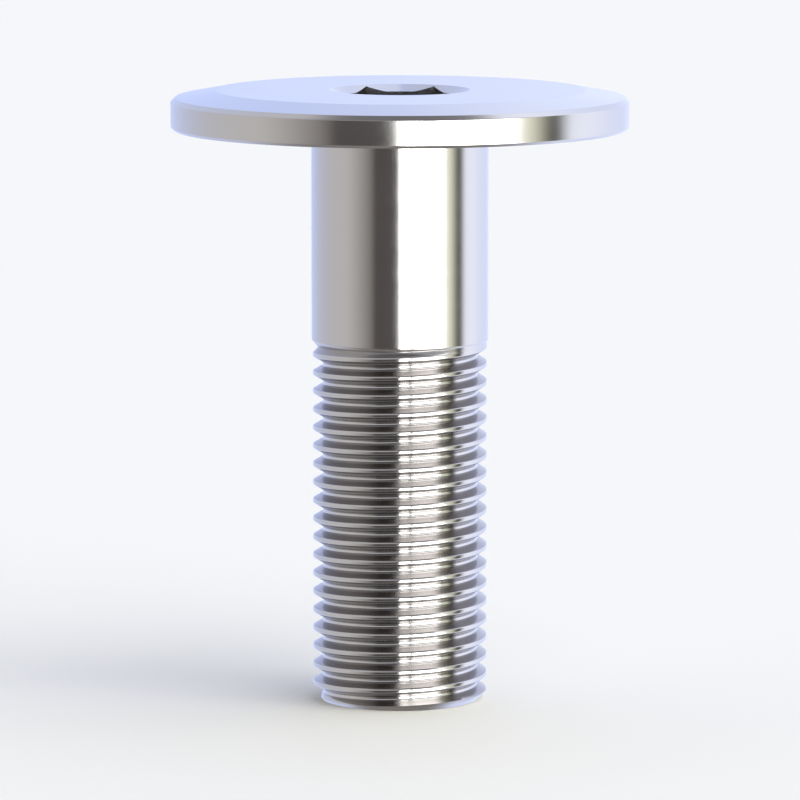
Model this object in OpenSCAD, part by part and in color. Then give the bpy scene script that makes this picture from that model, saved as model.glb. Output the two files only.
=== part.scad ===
// Hollow flange bolt, turned from one bar and stood on its threaded end.
// Millimetres, +Z up along the bolt's axis, origin at the middle of the tip's flat end.
// From the tip up the axis carries the fine thread, the plain shank and the wide thin head.
// Its face is flat in the middle and falls away in a shallow bevel towards the rim. A straight
// bore and the hexagon socket run down the middle.

/* [Head] */
// Diameter of the head
head_d = 31; // [27:0.5:36]
// Height of the head's rim, from the seat to the outer edge of the face
rim_h = 2.15; // [1.6:0.05:3]
// Diameter of the flat middle of the face
face_flat_d = 25; // [14:0.5:25.5]
// Drop of the face's bevel, from the flat middle to the outer edge
face_drop = 0.5; // [0.2:0.05:1]
// Chamfer between the face and the rim
face_chamfer = 0.3; // [0.2:0.05:0.6]
// Chamfer between the rim and the seat
seat_chamfer = 0.2; // [0.1:0.05:0.4]

/* [Shank] */
// Diameter of the plain shank
shank_d = 12; // [12:0.05:13]
// Length of the plain shank, from the thread to the seat
shank_len = 13.9; // [8:0.1:20]
// Chamfer at the shank's lower end, where it meets the thread
shank_chamfer = 0.2; // [0.1:0.05:0.4]
// Radius of the fillet between the shank and the seat
seat_fillet = 0.5; // [0.2:0.05:1]

/* [Thread] */
// Outside diameter of the thread, over its crests
thread_d = 11.85; // [11.6:0.05:11.95]
// Pitch of the thread
thread_pitch = 1.25; // [1:0.05:1.5]
// Length of the thread, from the tip to the shank
thread_len = 25.1; // [15:0.1:40]
// Length over which the thread's root rises to its crest at the shank
runout_len = 1; // [0.8:0.1:3]
// Angle round the tip at which the thread's root leaves the flat end
thread_start = 25; // [0:5:355]
// Diameter of the flat end at the tip, outside the bore
tip_d = 10.6; // [9.4:0.1:11.2]
// Angle of the tip's chamfer, measured from the bolt's axis
tip_angle = 45; // [35:1:55]

/* [Socket and bore] */
// Width across the flats of the hexagon socket
hex_af = 8; // [7:0.1:8.2]
// Depth of the hexagon below the head's face
hex_depth = 6.2; // [4:0.1:8]
// Diameter of the countersink at the socket's mouth
mouth_d = 9.5; // [9.4:0.05:10.5]
// Included angle of the countersink
mouth_angle = 110; // [90:5:130]
// Diameter of the hole drilled before the hexagon is broached
pilot_d = 8.2; // [7.4:0.05:8.6]
// Depth that the drilled hole runs on below the hexagon
pilot_run_on = 1; // [0.5:0.1:2]
// Included angle of the drill's point
drill_angle = 118; // [90:1:140]
// Diameter of the bore that makes the bolt hollow
bore_d = 6.5; // [4:0.1:7]
// Chamfer of the bore at the tip
bore_chamfer = 0.4; // [0.2:0.05:0.6]

/* [Hidden] */
$fn = 144;

head_r = head_d / 2;
shank_r = shank_d / 2;
thread_r = thread_d / 2;
tip_r = tip_d / 2;
bore_r = bore_d / 2;

// Heights along the axis
seat_z = thread_len + shank_len;
top_z = seat_z + rim_h + face_drop;
hex_floor_z = top_z - hex_depth;
pilot_floor_z = hex_floor_z - pilot_run_on;

// How far cutting tools reach past the surface that they cut
reach = 1;

// A 60 degree thread, flat on its crest and in its root
crest_flat = thread_pitch / 5;
root_flat = thread_pitch / 6;
flank_len = (thread_pitch - crest_flat - root_flat) / 2;
thread_depth = flank_len / tan(30);

// The thread's skin is columns of points round the axis, joined along four lines that
// climb the helix in each pitch: the lower and upper edges of the root, then of the crest
columns = 36;
last_column = columns - 1;
line_rise = [0, root_flat, root_flat + flank_len, root_flat + flank_len + crest_flat];
pitch_lines = len(line_rise);
// Depth of the cut, from 1 in the root to 0 on the crest, against the rise within a pitch
cut_profile = [[0, 1], [line_rise[1], 1], [line_rise[2], 0], [line_rise[3], 0], [thread_pitch, 1]];

// Height of a line on a column: lines start below the tip and end above the thread
spare_turns = 2;
all_lines = pitch_lines * (ceil(thread_len / thread_pitch) + 2 * spare_turns);
function helix_z(angle) = thread_pitch * (angle - thread_start) / 360;
function line_z(line, column) =
    helix_z(360 * column / columns) + line_rise[line % pitch_lines]
    + thread_pitch * (floor(line / pitch_lines) - spare_turns);

// Each column keeps the lines that lie within the thread, a little away from both flat ends
end_gap = 0.02;
function lines_below(z, column) =
    len([for (line = [0 : all_lines - 1]) if (line_z(line, column) < z) line]);
first_line = [for (column = [0 : last_column]) lines_below(end_gap, column)];
last_line = [for (column = [0 : last_column]) lines_below(thread_len - end_gap, column) - 1];

// Radius of the thread's skin: the root rises to the crest at the shank, and the tip's
// chamfer limits it all
function rise_in_pitch(angle, z) =
    let (rise = z - helix_z(angle)) rise - thread_pitch * floor(rise / thread_pitch);
function root_cut(z) = thread_depth * min(1, (thread_len - z) / runout_len);
function skin_r(angle, z) =
    min(thread_r - root_cut(z) * lookup(rise_in_pitch(angle, z), cut_profile), tip_r + z * tan(tip_angle));
function skin_point(column, z) =
    let (angle = 360 * column / columns, r = skin_r(angle, z)) [r * cos(angle), r * sin(angle), z];

// Points: a ring on the tip's flat end, a ring at the shank, then the columns in turn
shank_ring = columns;
column_start = [
    for (column = 0, start = 2 * columns; column < columns;
        start = start + last_line[column] - first_line[column] + 1, column = column + 1) start
];
thread_points = [
    for (column = [0 : last_column]) skin_point(column, 0),
    for (column = [0 : last_column]) skin_point(column, thread_len),
    for (column = [0 : last_column], line = [first_line[column] : last_line[column]])
        skin_point(column, line_z(line, column))
];

// Past the last column a line is met by the one that stands a pitch higher on column 0
function next(column) = (column + 1) % columns;
function line_shift(column) = column == last_column ? pitch_lines : 0;
function at(column, line) = column_start[column] + line - first_line[column];
function at_next(column, line) = at(next(column), line + line_shift(column));
function next_first(column) = first_line[next(column)] - line_shift(column);
function next_last(column) = last_line[next(column)] - line_shift(column);

// A line climbs as it goes round, so the next column may start or end one line lower
thread_faces = [
    for (column = [0 : last_column], line = [first_line[column] : next_last(column) - 1]) each [
        [at(column, line), at(column, line + 1), at_next(column, line)],
        [at(column, line + 1), at_next(column, line + 1), at_next(column, line)]
    ],
    for (column = [0 : last_column], line = [next_first(column) : 1 : first_line[column] - 1])
        [at(column, first_line[column]), at_next(column, line + 1), at_next(column, line)],
    for (column = [0 : last_column], line = [next_last(column) : 1 : last_line[column] - 1])
        [at(column, line), at(column, line + 1), at_next(column, next_last(column))],
    for (column = [0 : last_column]) each [
        [column, at(column, first_line[column]), at_next(column, next_first(column))],
        [column, at_next(column, next_first(column)), next(column)],
        [at(column, last_line[column]), shank_ring + column, at_next(column, next_last(column))],
        [shank_ring + column, shank_ring + next(column), at_next(column, next_last(column))]
    ],
    [for (column = [0 : last_column]) column],
    [for (column = [last_column : -1 : 0]) shank_ring + column]
];

module thread() {
    polyhedron(points = thread_points, faces = thread_faces, convexity = 4);
}

// Half of the head's section: rim, both chamfers, the bevel and the flat middle of the face
module head_section() {
    translate([0, seat_z]) polygon([
        [0, 0],
        [head_r - seat_chamfer, 0],
        [head_r, seat_chamfer],
        [head_r, rim_h - face_chamfer],
        [head_r - face_chamfer, rim_h],
        [face_flat_d / 2, rim_h + face_drop],
        [0, rim_h + face_drop]
    ]);
}

// Half of the shank's section, with the fillet that leads into the seat. The chamfer at its
// lower end runs on down inside the thread, to halfway between the thread's root and the bore
module shank_section() {
    shank_top_z = seat_z + rim_h / 2;
    shank_low_z = thread_len + shank_chamfer;
    core_r = (thread_r - thread_depth + bore_r) / 2;
    core_z = shank_low_z - (shank_r - core_r);
    polygon([
        [0, core_z],
        [core_r, core_z],
        [shank_r, shank_low_z],
        [shank_r, shank_top_z],
        [0, shank_top_z]
    ]);
    difference() {
        translate([0, seat_z - seat_fillet])
            square([shank_r + seat_fillet, shank_top_z - seat_z + seat_fillet]);
        translate([shank_r + seat_fillet, seat_z - seat_fillet]) circle(r = seat_fillet, $fn = 48);
    }
}

module turned_blank() {
    rotate_extrude() {
        head_section();
        shank_section();
    }
}

// A cone that opens upwards, is r in radius at height z and goes on up past it
module cone_through(r, z, angle, up) {
    slope = tan(angle / 2);
    translate([0, 0, z - r / slope]) cylinder(h = r / slope + up, r1 = 0, r2 = r + up * slope);
}

module socket() {
    cone_through(mouth_d / 2, top_z, mouth_angle, reach);
    translate([0, 0, hex_floor_z]) cylinder(h = hex_depth + reach, d = hex_af / cos(30), $fn = 6);
    translate([0, 0, pilot_floor_z]) cylinder(h = hex_depth + pilot_run_on, d = pilot_d);
    cone_through(pilot_d / 2, pilot_floor_z, drill_angle, 0);
}

module bore() {
    translate([0, 0, -reach]) {
        cylinder(h = pilot_floor_z + reach, r = bore_r);
        cylinder(h = bore_chamfer + reach, r1 = bore_r + bore_chamfer + reach, r2 = bore_r);
    }
}

module bolt() {
    color("silver") difference() {
        union() {
            turned_blank();
            thread();
        }
        socket();
        bore();
    }
}

bolt();
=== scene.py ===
"""A hollow flange bolt of polished steel, standing on its threaded tip in a small studio.

The bolt is one closed skin: rings of a turned profile, a helical thread and a hexagon socket.
Lengths are in metres, the bolt's axis is Z, and the tip's flat end lies at the origin.
"""

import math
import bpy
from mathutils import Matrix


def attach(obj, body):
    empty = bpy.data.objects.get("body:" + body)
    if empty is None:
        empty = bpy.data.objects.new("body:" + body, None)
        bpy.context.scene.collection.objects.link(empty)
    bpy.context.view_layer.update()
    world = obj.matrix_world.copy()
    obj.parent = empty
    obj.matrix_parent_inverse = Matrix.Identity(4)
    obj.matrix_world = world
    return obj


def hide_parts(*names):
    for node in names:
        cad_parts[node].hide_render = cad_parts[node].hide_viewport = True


bl_info = {
    "name": "Hollow Bolt",
    "version": (1, 0, 0),
    "blender": (4, 5, 0),
    "location": "3D View > Sidebar > Hollow Bolt",
    "description": "Builds a hollow flange bolt with a fine thread, and its studio",
    "category": "Object",
}

import bpy
import numpy as np
from bpy.props import FloatProperty, FloatVectorProperty, PointerProperty
from mathutils import Vector

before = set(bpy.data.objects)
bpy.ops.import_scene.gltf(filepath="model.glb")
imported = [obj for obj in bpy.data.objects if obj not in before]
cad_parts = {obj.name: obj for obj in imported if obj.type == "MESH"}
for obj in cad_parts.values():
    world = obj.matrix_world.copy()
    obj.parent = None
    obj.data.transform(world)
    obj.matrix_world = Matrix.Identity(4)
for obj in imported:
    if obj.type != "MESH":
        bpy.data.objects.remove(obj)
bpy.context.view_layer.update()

MM = 0.001
FULL_TURN = 2 * math.pi

# Points round the bolt in each ring and each row of the thread
COLUMNS = 144


def length(label, text, millimetres):
    return FloatProperty(
        name=label, description=text, default=millimetres * MM, unit="LENGTH", precision=5
    )


def angle(label, text, degrees):
    return FloatProperty(
        name=label, description=text, default=math.radians(degrees), subtype="ANGLE"
    )


def colour(label, text, rgb):
    return FloatVectorProperty(
        name=label, description=text, default=rgb, subtype="COLOR", min=0, max=1
    )


def factor(label, text, value):
    return FloatProperty(name=label, description=text, default=value, min=0, subtype="FACTOR")


class BoltSizes(bpy.types.PropertyGroup):
    """Sizes of the turned blank, the thread and the socket."""

    head_diameter: length("Head diameter", "Diameter of the head", 31)
    rim_height: length("Rim height", "From the seat to the outer edge of the face", 2.15)
    face_flat: length("Face flat", "Diameter of the flat middle of the face", 25)
    face_drop: length("Face drop", "Drop of the bevel from the flat middle to the edge", 0.5)
    face_chamfer: length("Face chamfer", "Chamfer between the face and the rim", 0.3)
    seat_chamfer: length("Seat chamfer", "Chamfer between the rim and the seat", 0.2)
    shank_diameter: length("Shank diameter", "Diameter of the plain shank", 12)
    shank_length: length("Shank length", "Length of the plain shank", 14.35)
    shank_chamfer: length("Shank chamfer", "Chamfer where the shank meets the thread", 0.06)
    seat_fillet: length("Seat fillet", "Radius between the shank and the seat", 0.5)
    edge_rounding: length("Edge rounding", "Radius that the finish leaves on sharp edges", 0.05)
    face_rounding: length("Face rounding", "Radius where the flat face meets its bevel", 0.5)
    thread_diameter: length("Thread diameter", "Diameter over the crests", 11.85)
    thread_pitch: length("Thread pitch", "Distance from crest to crest", 1.25)
    thread_length: length("Thread length", "From the tip to the shank", 24.65)
    thread_start: angle("Thread start", "Where round the tip the root leaves the flat end", 25)
    runout_length: length("Run-out length", "Over which the root rises to the crest", 0.9)
    root_rounding: length("Root rounding", "Radius at the thread's root", 0.14)
    crest_rounding: length("Crest rounding", "Radius at the thread's crest", 0.14)
    tip_diameter: length("Tip diameter", "Diameter of the flat end", 10.6)
    tip_blend: length("Tip blend", "How softly the tip's cone cuts the thread", 0.06)
    hexagon_width: length("Hexagon width", "Across the flats of the socket", 8)
    hexagon_depth: length("Hexagon depth", "Below the head's face", 6.2)
    mouth_diameter: length("Mouth diameter", "Diameter of the countersink at the face", 9.5)
    mouth_angle: angle("Mouth angle", "Included angle of the countersink", 110)
    pilot_diameter: length("Pilot diameter", "Hole drilled before the hexagon", 8.2)
    pilot_run_on: length("Pilot run-on", "Depth of the drilled hole below the hexagon", 1)
    drill_angle: angle("Drill angle", "Included angle of the drilled hole's point", 118)
    bore_diameter: length("Bore diameter", "Bore that makes the bolt hollow", 6.5)
    bore_chamfer: length("Bore chamfer", "Chamfer of the bore at the tip", 0.4)


class SteelFinish(bpy.types.PropertyGroup):
    """Look of the polished steel."""

    steel: colour("Steel", "Colour of the bare polished metal", (0.645, 0.636, 0.622))
    # The flank colour is painted shade: darker steel standing in for the shade in the thread's
    # grooves
    flank: colour("Flank", "Colour of the thread's dull flanks", (0.38, 0.365, 0.36))
    gloss_roughness: factor("Roughness", "Roughness of the polished faces", 0.115)
    lathe_marks: length("Lathe marks", "Depth of the fine rings that turning leaves", 0.0006)


class StudioSettings(bpy.types.PropertyGroup):
    """Floor, surroundings, lamp and camera."""

    floor: colour("Floor", "Colour of the floor", (0.94, 0.93, 0.85))
    floor_radius: length("Floor radius", "Radius of the floor", 6000)
    floor_gap: length("Floor gap", "Gap between the floor and the tip", 0.02)
    backdrop: colour("Backdrop", "Colour that the camera sees behind", (0.905, 0.922, 0.956))
    ceiling: colour("Ceiling", "Colour of the room high above the bolt", (0.22, 0.21, 0.22))
    ground: colour("Ground", "Colour of the room far below the bolt", (0.28, 0.26, 0.25))
    upper_wall: colour("Upper wall", "Colour of the wall above the window", (0.60, 0.61, 0.65))
    surroundings: factor("Surroundings", "Strength of the light from all round", 1.0)
    sky_strength: factor("Sky strength", "Strength of the soft light on the floor", 1.42)
    sky_spread: angle("Sky spread", "Angle that the soft light spreads over", 60)
    sky_from: FloatVectorProperty(
        name="Sky from",
        description="Direction that the soft light comes from",
        default=(0.766, -0.643, 1.2),
        subtype="DIRECTION",
    )
    camera_distance: length("Camera distance", "From the bolt's axis to the camera", 424)
    camera_height: length("Camera height", "Height of the camera above the floor", 75.5)
    aim_height: length("Aim height", "Height of the point that the camera looks at", 20.5)
    focal_length: FloatProperty(
        name="Focal length", description="Focal length of the lens", default=283, unit="CAMERA"
    )


def rounded_profile(corners, guard, steps=4):
    """Profile through corners, given as rows (x, y, radius), each turned into an arc.

    An arc leaves each straight side at radius times the tangent of half the turn from the
    corner, and is drawn at equal turns. One more point stands a guard's width outside each end
    of the arc, so that the shading bends only near the edge. A radius of 0 keeps the corner.
    """
    corners = np.array(corners, float)
    places, radii = corners[:, :2], corners[:, 2]
    pieces = [places[:1]]
    for before, corner, after, radius in zip(places, places[1:], places[2:], radii[1:]):
        if radius == 0:
            pieces.append(corner[None])
            continue
        enter = (corner - before) / np.linalg.norm(corner - before)
        leave = (after - corner) / np.linalg.norm(after - corner)
        turn = math.atan2(enter[0] * leave[1] - enter[1] * leave[0], enter @ leave)
        setback = radius * math.tan(abs(turn) / 2)
        side = math.copysign(1, turn) * np.array([-enter[1], enter[0]])
        centre = corner - setback * enter + radius * side
        swing = np.linspace(0, abs(turn), steps)[:, None]
        arc = centre + radius * (np.sin(swing) * enter - np.cos(swing) * side)
        first, last = corner - (setback + guard) * enter, corner + (setback + guard) * leave
        pieces += [first[None], arc, last[None]]
    pieces.append(places[-1:])
    return np.concatenate(pieces)


def split_quads(near, far):
    """Two triangles for each quad between two grids of indices that lie side by side."""
    quads = np.stack([near[:-1], far[:-1], far[1:], near[1:]], axis=-1).reshape(-1, 4)
    return np.concatenate([quads[:, [0, 1, 2]], quads[:, [0, 2, 3]]])


def joined_rings(index):
    """Triangles that join rings of indices, given as rows, each to the next."""
    return split_quads(index, np.roll(index, -1, axis=1))


def on_circle(radius, turn, height):
    """Points at a radius, an angle and a height, as arrays: (r cos a, r sin a, z)."""
    return np.stack(
        np.broadcast_arrays(radius * np.cos(turn), radius * np.sin(turn), height), axis=-1
    )


def column_turns(columns=COLUMNS):
    """Equal angles round the axis, one for each column."""
    return FULL_TURN * np.arange(columns) / columns


def thread_section(size):
    """Rise within a pitch and depth of cut of a thread whose corners are rounded.

    A 60 degree profile with a crest a fifth of the pitch wide and a root a sixth of it wide.
    It starts in the middle of the root, and comes back as (rise, cut) rows over one pitch.
    """
    pitch = size.thread_pitch
    root, crest = pitch / 6, pitch / 5
    flank = (pitch - root - crest) / 2
    depth = flank / math.tan(math.radians(30))
    root_arc, crest_arc = size.root_rounding, size.crest_rounding
    corners = [
        (0, depth, 0),
        (root / 2, depth, root_arc),
        (root / 2 + flank, 0, crest_arc),
        (root / 2 + flank + crest, 0, crest_arc),
        (pitch - root / 2, depth, root_arc),
        (pitch, depth, 0),
    ]
    return rounded_profile(corners, guard=0.02 * MM)[:-1]


def helix_rise(size, turn):
    """Height that the helix has gained: the pitch times (angle - start) / full turn."""
    return size.thread_pitch * (turn - size.thread_start) / FULL_TURN


def thread_radius(size, cut, height):
    """Radius of the thread's skin: the crest's less the cut, under the tip's cone.

    The cut fades to nothing along the run-out. The cone opens at 45 degrees from the flat end,
    and the smaller of the two radii, a and b, is rounded where they cross:
    (a + b - sqrt((a - b)^2 + blend^2)) / 2.
    """
    fade = np.clip((size.thread_length - height) / size.runout_length, 0, 1)
    skin = size.thread_diameter / 2 - cut * fade
    cone = size.tip_diameter / 2 + height
    return (skin + cone - np.sqrt((skin - cone) ** 2 + size.tip_blend**2)) / 2


def tip_ring_radius(size, turn):
    """Radius of the thread's skin on the tip's flat end: the section looked up there."""
    section = thread_section(size)
    rise = np.mod(-helix_rise(size, turn), size.thread_pitch)
    cut = np.interp(rise, section[:, 0], section[:, 1], period=size.thread_pitch)
    return thread_radius(size, cut, 0)


def thread_skin(size, tip_ring, shank_ring, first_index):
    """Points and triangles of the helical thread between two given rings of indices.

    Rows follow the helix: row k on column c stands at its rise within the pitch, plus a whole
    number of pitches, plus the helix's own rise at that column. Past the last column a row is
    met by the one a pitch higher. A row's end that leaves the thread is tied to the ring there,
    and triangles that this makes empty are dropped.
    """
    section = thread_section(size)
    rows = len(section)
    spare = 2
    turns = math.ceil(size.thread_length / size.thread_pitch) + 2 * spare
    start = size.thread_pitch * (np.arange(turns)[:, None] - spare)
    turn = column_turns()
    height = (section[None, :, 0] + start).reshape(-1, 1) + helix_rise(size, turn)
    radius = thread_radius(size, np.tile(section[:, 1], turns)[:, None], height)

    end_gap = 0.012 * MM
    below, above = height < end_gap, height > size.thread_length - end_gap
    own = ~(below | above)
    index = np.where(below, tip_ring, shank_ring)
    index[own] = first_index + np.arange(own.sum())

    far = np.concatenate([index[:-rows, 1:], index[rows:, :1]], axis=1)
    triangles = split_quads(index[:-rows], far)
    a, b, c = triangles.T
    return on_circle(radius, turn, height)[own], triangles[(a != b) & (b != c) & (c != a)]


def blank_rings(size):
    """Points of every ring of the blank, from the shank's lower end over the head to the tip.

    A ring is the same all round, except in the socket. There the wall's radius is half the
    hexagon's width over the cosine of the angle from the middle of the flat, or the drilled
    hole's where that is wider. The countersink falls by (mouth - wall) / tan(half its angle).
    """
    turn = column_turns()
    low, shank_end = size.thread_length, size.shank_chamfer
    seat = low + size.shank_length
    head, shank = size.head_diameter / 2, size.shank_diameter / 2
    face, mouth = size.face_flat / 2, size.mouth_diameter / 2
    pilot, bore = size.pilot_diameter / 2, size.bore_diameter / 2
    rim_top = seat + size.rim_height
    top = rim_top + size.face_drop
    sink = math.tan(size.mouth_angle / 2)
    edge = size.edge_rounding
    outside = rounded_profile(
        [
            (size.thread_diameter / 2, low, 0),
            (shank - shank_end, low, 0),
            (shank, low + shank_end, edge),
            (shank, low + size.shank_length / 2, 0),
            (shank, seat, size.seat_fillet),
            (head - size.seat_chamfer, seat, edge),
            (head, seat + size.seat_chamfer, edge),
            (head, rim_top - size.face_chamfer, edge),
            (head - size.face_chamfer, rim_top, 1.4 * edge),
            (face, top, size.face_rounding),
            ((face + mouth) / 2, top, 0),
            (mouth, top, edge),
            (pilot, top - (mouth - pilot) / sink, 0),
        ],
        guard=0.04 * MM,
    )

    from_flat = np.mod(turn, FULL_TURN / 6) - FULL_TURN / 12
    wall = np.maximum(size.hexagon_width / 2 / np.cos(from_flat), pilot)
    lip = top - (mouth - wall) / sink
    floor = top - size.hexagon_depth
    # The drilled hole stays a hair inside the wall, so that no triangle between them is empty
    hair = 0.01 * MM
    drilled, drilled_floor = pilot - hair, floor - size.pilot_run_on
    point = drilled_floor - (pilot - bore) / math.tan(size.drill_angle / 2)
    inside = [
        (wall, lip),
        (wall, 0.9 * lip + 0.1 * floor),
        (wall, floor),
        (drilled, floor),
        (drilled, drilled_floor),
        (bore, point),
        (bore, low),
        (bore, size.bore_chamfer),
        (bore + size.bore_chamfer, 0),
        (tip_ring_radius(size, turn), 0),
    ]
    rings = [*outside[:-1], *inside]
    return np.stack([on_circle(radius, turn, height) for radius, height in rings])


def bolt_skin(size):
    """Points and triangles of the whole bolt: its rings, joined one to one, and its thread."""
    rings = blank_rings(size).reshape(-1, 3)
    index = np.arange(len(rings)).reshape(-1, COLUMNS)
    thread_points, thread_triangles = thread_skin(size, index[-1], index[0], len(rings))
    points = np.concatenate([rings, thread_points])
    return points, np.concatenate([joined_rings(index), thread_triangles])


def floor_disc(radius, rings=24, columns=96):
    """Flat disc: ring k has radius times (k / rings) squared, so that its middle is finest."""
    spread = radius * (np.arange(1, rings + 1)[:, None] / rings) ** 2
    points = on_circle(spread, column_turns(columns), 0).reshape(-1, 3)
    index = np.arange(1, rings * columns + 1).reshape(rings, columns)
    middle = np.stack([np.zeros(columns, int), index[0], np.roll(index[0], -1)], axis=-1)
    triangles = np.concatenate([middle, joined_rings(index[::-1])])
    return np.concatenate([np.zeros((1, 3)), points]), triangles


def add_skin(name, points, triangles, sharp=None):
    """Object at the origin from arrays of points and triangles, smooth but for sharp edges."""
    mesh = bpy.data.meshes.new(name)
    mesh.vertices.add(len(points))
    mesh.vertices.foreach_set("co", points.ravel())
    mesh.loops.add(triangles.size)
    mesh.loops.foreach_set("vertex_index", triangles.ravel())
    mesh.polygons.add(len(triangles))
    mesh.polygons.foreach_set("loop_start", np.arange(0, triangles.size, 3))
    mesh.update(calc_edges=True)
    mesh.validate()
    mesh.shade_smooth()
    if sharp is not None:
        mesh.set_sharp_from_angle(angle=sharp)
    piece = bpy.data.objects.new(name, mesh)
    bpy.context.scene.collection.objects.link(piece)
    return piece


def rgba(rgb):
    """The colour, opaque."""
    return (*rgb, 1.0)


class Wire:
    """A socket in a node tree. Sums and products of wires add Math nodes to that tree."""

    def __init__(self, tree, socket=None):
        self.tree, self.socket = tree, socket

    def add(self, kind, settings=None, output=0, **inputs):
        """Adds a node: its settings first, then the values or wires of its sockets.

        The stops of a colour ramp are given as (position, colour). An input is named by its
        label with _ for a space, or by i and its number.
        """
        node = self.tree.nodes.new(kind)
        for name, value in (settings or {}).items():
            if name == "stops":
                ramp = node.color_ramp
                while len(ramp.elements) < len(value):
                    ramp.elements.new(1)
                for element, (position, rgb) in zip(ramp.elements, value):
                    element.position, element.color = position, rgba(rgb)
            else:
                setattr(node, name, value)
        for name, value in inputs.items():
            numbered = name[0] == "i" and name[1:].isdigit()
            key = int(name[1:]) if numbered else name.replace("_", " ")
            if isinstance(value, Wire):
                self.tree.links.new(value.socket, node.inputs[key])
            else:
                node.inputs[key].default_value = value
        return Wire(self.tree, node.outputs[output]) if node.outputs else node

    def maths(self, operation, *values):
        """Adds a Math node."""
        inputs = {f"i{number}": value for number, value in enumerate(values)}
        return self.add("ShaderNodeMath", {"operation": operation}, **inputs)

    def __add__(self, other):
        return self.maths("ADD", self, other)

    def __sub__(self, other):
        return self.maths("SUBTRACT", self, other)

    def __rsub__(self, other):
        return self.maths("SUBTRACT", other, self)

    def __mul__(self, other):
        return self.maths("MULTIPLY", self, other)

    def __truediv__(self, other):
        return self.maths("DIVIDE", self, other)

    def __rtruediv__(self, other):
        return self.maths("DIVIDE", other, self)

    __radd__, __rmul__ = __add__, __mul__

    def step(self, low, high):
        """0 up to low, 1 from high, and a smooth rise between them."""
        settings = {"interpolation_type": "SMOOTHSTEP"}
        ends = {"From_Min": low, "From_Max": high, "To_Min": 0.0, "To_Max": 1.0}
        return self.add("ShaderNodeMapRange", settings, Value=self, **ends)

    def mix(self, first, second):
        """Colour from first to second as this wire goes from 0 to 1."""
        colours = {"i6": first, "i7": second}
        return self.add("ShaderNodeMix", {"data_type": "RGBA"}, output=2, i0=self, **colours)

    def axes(self):
        """The x, y and z of this vector."""
        parts = self.add("ShaderNodeSeparateXYZ", Vector=self).socket.node.outputs
        return [Wire(self.tree, part) for part in parts]


def fresh_tree(owner):
    """Empties the node tree of a material or world, and returns a wire to build it with."""
    owner.use_nodes = True
    owner.node_tree.nodes.clear()
    return Wire(owner.node_tree)


def polished_steel(size, finish):
    """Turned and polished steel: faint rings round the axis, and rougher flanks in the thread,
    darkened with painted shade.

    The rings are noise that is read at (distance from the axis, height), both in millimetres.
    The flanks lie between two depths below the crests, under the shank and over the tip's end.
    """
    material = bpy.data.materials.new("polished_steel")
    tree = fresh_tree(material)
    place = tree.add("ShaderNodeTexCoord", output="Object")
    x, y, z = place.axes()
    out = tree.maths("SQRT", x * x + y * y)
    rings = tree.add("ShaderNodeCombineXYZ", X=out / MM, Y=z / MM, Z=0.0)
    fine = tree.add("ShaderNodeTexNoise", Vector=rings, Scale=9.0, Detail=3.0, Roughness=0.6)
    broad = tree.add("ShaderNodeTexNoise", Vector=rings, Scale=0.9, Detail=1.0)
    cloud = tree.add("ShaderNodeTexNoise", Vector=place, Scale=260.0, Detail=3.0)

    below_shank = 1 - z.step(size.thread_length - 0.4 * MM, size.thread_length)
    depth = size.thread_diameter / 2 - out
    below_crest = depth.step(0.02 * MM, 0.08 * MM)
    above_root = 1 - depth.step(0.60 * MM, 0.67 * MM)
    on_flank = above_root * below_crest * below_shank * z.step(0.1 * MM, 0.9 * MM)
    # Painted shade: the thread's flanks get a darker colour, and also more roughness
    dull_and_painted_shade = on_flank * (0.7 + 0.6 * cloud)

    base = dull_and_painted_shade.mix(rgba(finish.steel), rgba(finish.flank))
    satin = finish.gloss_roughness + 0.05 * broad + 0.04 * cloud
    rough = satin * (1 - 0.4 * below_shank) + 0.1 * dull_and_painted_shade
    marks = fine * 0.7 + broad * 0.3
    bump = tree.add("ShaderNodeBump", Height=marks, Distance=finish.lathe_marks, Strength=1.0)
    steel = tree.add(
        "ShaderNodeBsdfPrincipled", Base_Color=base, Metallic=1.0, Roughness=rough, Normal=bump
    )
    tree.add("ShaderNodeOutputMaterial", Surface=steel)
    return material


def matt_floor(studio):
    """Pale matt floor, which hardly shines."""
    material = bpy.data.materials.new("floor")
    tree = fresh_tree(material)
    looks = {"Base_Color": rgba(studio.floor), "Roughness": 0.8, "Specular_IOR_Level": 0.1}
    paint = tree.add("ShaderNodeBsdfPrincipled", **looks)
    tree.add("ShaderNodeOutputMaterial", Surface=paint)
    return material


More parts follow.
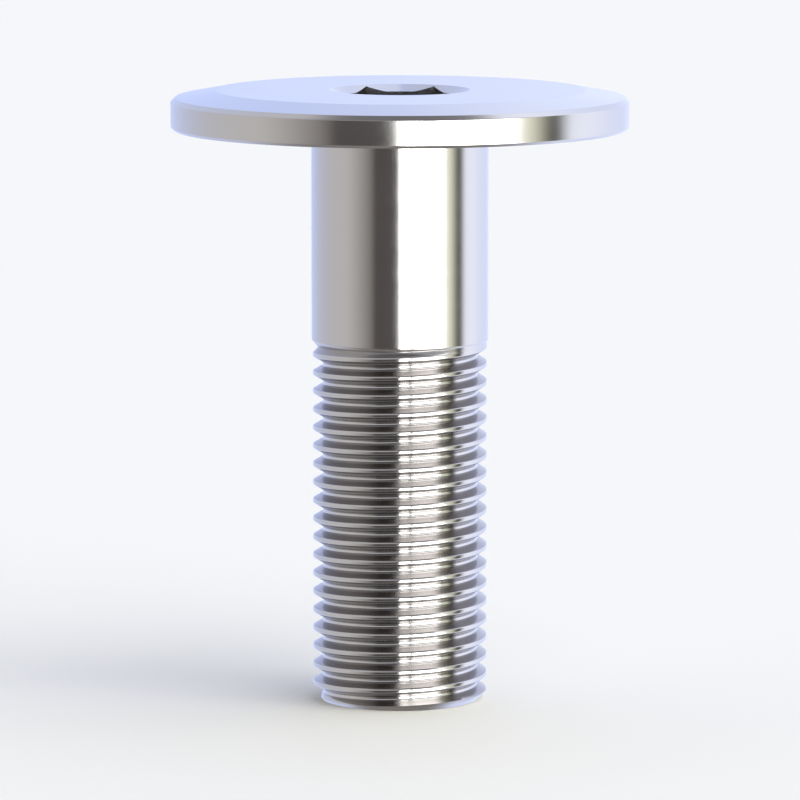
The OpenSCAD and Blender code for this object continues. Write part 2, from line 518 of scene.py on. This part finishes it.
# What the steel sees round the bolt at the camera's level, from the camera's side (0) by its
# right (0.25), the back (0.5) and its left (0.75): a window of two panes, a curtain beside it,
# a dark gap, the pale back wall, which is dimmer to the left, a warm wall and an unlit corner
ROOM = [
    (0.000, (6.00, 6.00, 5.90)),
    (0.036, (6.00, 6.00, 5.90)),
    (0.038, (0.15, 0.14, 0.13)),
    (0.046, (0.15, 0.14, 0.13)),
    (0.048, (6.00, 6.00, 5.90)),
    (0.162, (6.00, 6.00, 5.90)),
    (0.166, (1.20, 1.19, 1.02)),
    (0.190, (1.02, 1.01, 0.84)),
    (0.204, (0.69, 0.68, 0.55)),
    (0.215, (0.34, 0.34, 0.28)),
    (0.225, (0.13, 0.13, 0.11)),
    (0.238, (0.14, 0.14, 0.14)),
    (0.250, (0.69, 0.71, 0.76)),
    (0.264, (1.18, 1.22, 1.40)),
    (0.300, (1.21, 1.25, 1.47)),
    (0.360, (1.03, 1.10, 1.38)),
    (0.420, (0.90, 0.98, 1.32)),
    (0.488, (0.94, 1.03, 1.33)),
    (0.500, (0.78, 0.87, 1.22)),
    (0.512, (0.69, 0.80, 1.22)),
    (0.600, (0.71, 0.77, 1.03)),
    (0.690, (0.69, 0.69, 0.77)),
    (0.740, (0.69, 0.68, 0.70)),
    (0.800, (0.68, 0.66, 0.66)),
    (0.840, (0.54, 0.52, 0.51)),
    (0.885, (0.33, 0.31, 0.30)),
    (0.900, (0.23, 0.21, 0.20)),
    (0.910, (0.10, 0.09, 0.09)),
    (0.950, (0.11, 0.10, 0.10)),
]


def studio_room(studio):
    """Surroundings: the plain backdrop for the camera, and the room for everything else.

    The room's colour is read from ROOM by the direction's angle round the bolt. On the
    camera's side its uprights lean outwards, up and down from the camera's level, and a light
    wall stands above the window. High above it all turns to a dim ceiling, which reaches lower
    on the camera's side than at the back, and straight below to a dim ground.
    """
    world = bpy.data.worlds.new("studio")
    bpy.context.scene.world = world
    tree = fresh_tree(world)
    x, y, z = tree.add("ShaderNodeTexCoord", output="Generated").axes()
    front = -1 * y

    off_level = (z * z).step(0.03, 0.12)
    lean = 1 - 0.12 * off_level * front.step(-0.5, 0.3)
    turn = tree.maths("FRACT", tree.maths("ARCTAN2", x, front) / FULL_TURN * lean + 1)
    room = tree.add("ShaderNodeValToRGB", {"stops": ROOM}, Fac=turn)

    above_window = z.step(0.04, 0.1) * front.step(0.1, 0.5)
    room = above_window.mix(room, rgba(studio.upper_wall))
    room = (z + 0.5 * front).step(0.85, 1).mix(room, rgba(studio.ceiling))
    room = (-1 * z).step(0.7, 0.95).mix(room, rgba(studio.ground))

    to_camera = tree.add("ShaderNodeLightPath", output="Is Camera Ray")
    seen = to_camera.mix(room, rgba(studio.backdrop))
    light = tree.add("ShaderNodeBackground", Color=seen, Strength=studio.surroundings)
    tree.add("ShaderNodeOutputWorld", Surface=light)


def add_pointed(name, data, place, target):
    """Camera or lamp at a place, pointed at a target."""
    thing = bpy.data.objects.new(name, data)
    bpy.context.scene.collection.objects.link(thing)
    thing.location = place
    thing.rotation_euler = (Vector(target) - Vector(place)).to_track_quat("-Z", "Y").to_euler()
    return thing


class HOLLOWBOLT_OT_bolt(bpy.types.Operator):
    """Build the bolt and its polished steel"""

    bl_idname = "hollow_bolt.bolt"
    bl_label = "Bolt"

    def execute(self, context):
        size, finish = context.scene.bolt_sizes, context.scene.steel_finish
        bolt = add_skin("bolt_skin", *bolt_skin(size), sharp=math.radians(31))
        bolt.data.materials.append(polished_steel(size, finish))
        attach(bolt, "root")
        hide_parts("bolt")
        return {"FINISHED"}


class HOLLOWBOLT_OT_studio(bpy.types.Operator):
    """Build the floor, the surroundings, the soft light and the camera"""

    bl_idname = "hollow_bolt.studio"
    bl_label = "Studio"

    def execute(self, context):
        studio = context.scene.studio_settings
        points, triangles = floor_disc(studio.floor_radius)
        points[:, 2] = -studio.floor_gap
        floor = add_skin("floor", points, triangles)
        floor.data.materials.append(matt_floor(studio))
        floor.visible_glossy = False
        studio_room(studio)

        sun = bpy.data.lights.new("sky", "SUN")
        sun.energy, sun.angle = studio.sky_strength, studio.sky_spread
        add_pointed("sky", sun, studio.sky_from, (0, 0, 0)).visible_glossy = False

        camera = bpy.data.cameras.new("camera")
        camera.lens, camera.clip_start = studio.focal_length, 0.01
        place = (0, -studio.camera_distance, studio.camera_height)
        context.scene.camera = add_pointed("camera", camera, place, (0, 0, studio.aim_height))
        context.scene.view_settings.view_transform = "Standard"
        return {"FINISHED"}


class HOLLOWBOLT_PT_sidebar(bpy.types.Panel):
    """Lists the builders and their sizes"""

    bl_idname = "HOLLOWBOLT_PT_sidebar"
    bl_label = "Hollow Bolt"
    bl_space_type = "VIEW_3D"
    bl_region_type = "UI"
    bl_category = "Hollow Bolt"

    def draw(self, context):
        scene = context.scene
        for operator, groups in (
            (HOLLOWBOLT_OT_bolt, (scene.bolt_sizes, scene.steel_finish)),
            (HOLLOWBOLT_OT_studio, (scene.studio_settings,)),
        ):
            box = self.layout.box()
            box.operator(operator.bl_idname)
            for group in groups:
                for name in group.bl_rna.properties.keys():
                    if name not in ("rna_type", "name"):
                        box.prop(group, name)


CLASSES = (
    BoltSizes,
    SteelFinish,
    StudioSettings,
    HOLLOWBOLT_OT_bolt,
    HOLLOWBOLT_OT_studio,
    HOLLOWBOLT_PT_sidebar,
)


def register():
    for kind in CLASSES:
        bpy.utils.register_class(kind)
    bpy.types.Scene.bolt_sizes = PointerProperty(type=BoltSizes)
    bpy.types.Scene.steel_finish = PointerProperty(type=SteelFinish)
    bpy.types.Scene.studio_settings = PointerProperty(type=StudioSettings)


def unregister():
    del bpy.types.Scene.studio_settings
    del bpy.types.Scene.steel_finish
    del bpy.types.Scene.bolt_sizes
    for kind in reversed(CLASSES):
        bpy.utils.unregister_class(kind)


def main():
    register()
    bpy.ops.hollow_bolt.bolt()
    bpy.ops.hollow_bolt.studio()


if __name__ == "__main__":
    main()
